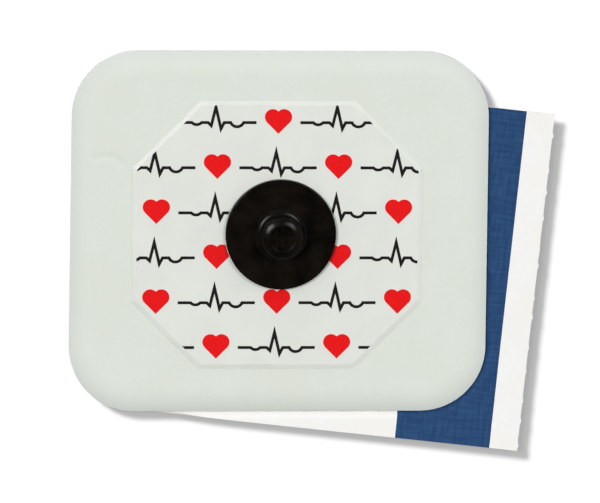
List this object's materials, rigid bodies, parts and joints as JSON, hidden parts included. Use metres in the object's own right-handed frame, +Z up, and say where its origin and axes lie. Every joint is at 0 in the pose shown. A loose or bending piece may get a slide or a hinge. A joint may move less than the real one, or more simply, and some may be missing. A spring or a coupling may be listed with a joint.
{
  "type": "ecg electrode",
  "caption": "Single-use ECG electrode: rounded foam pad with printed eight-sided label, gel well, silver coated sensor and black snap stud, on a turned paper release liner with a blue band.",
  "frame": {"origin": "on the stud's axis, on the underside of the release liner, which is the surface it lies on", "axes": "+Z up along the stud, +X along the pad's long side towards the liner's torn edge, +Y along its short side"},
  "size_m": [0.0463, 0.0387, 0.0053],
  "materials": {
    "liner_paper": "silicone coated white paper",
    "blue_ink": "blue print on paper with a fine weave grain",
    "pad_foam": "closed cell polyethylene foam, pale green white",
    "clear_gel": "tacky clear gel",
    "silver_coat": "matt silver and silver chloride coat on plastic",
    "label_film": "satin white film",
    "black_ink": "black print on film",
    "red_ink": "red print on film",
    "stud_plastic": "satin black carbon filled plastic"
  },
  "bodies": {
    "root": {"release_liner": "liner_paper", "liner_band": "blue_ink", "foam_pad": "pad_foam", "gel_pad": "clear_gel", "sensor_eyelet": "silver_coat", "label": "label_film", "label_pulse_print": "black_ink", "label_heart_print": "red_ink", "snap_stud": "stud_plastic"}
  },
  "joints": []
}
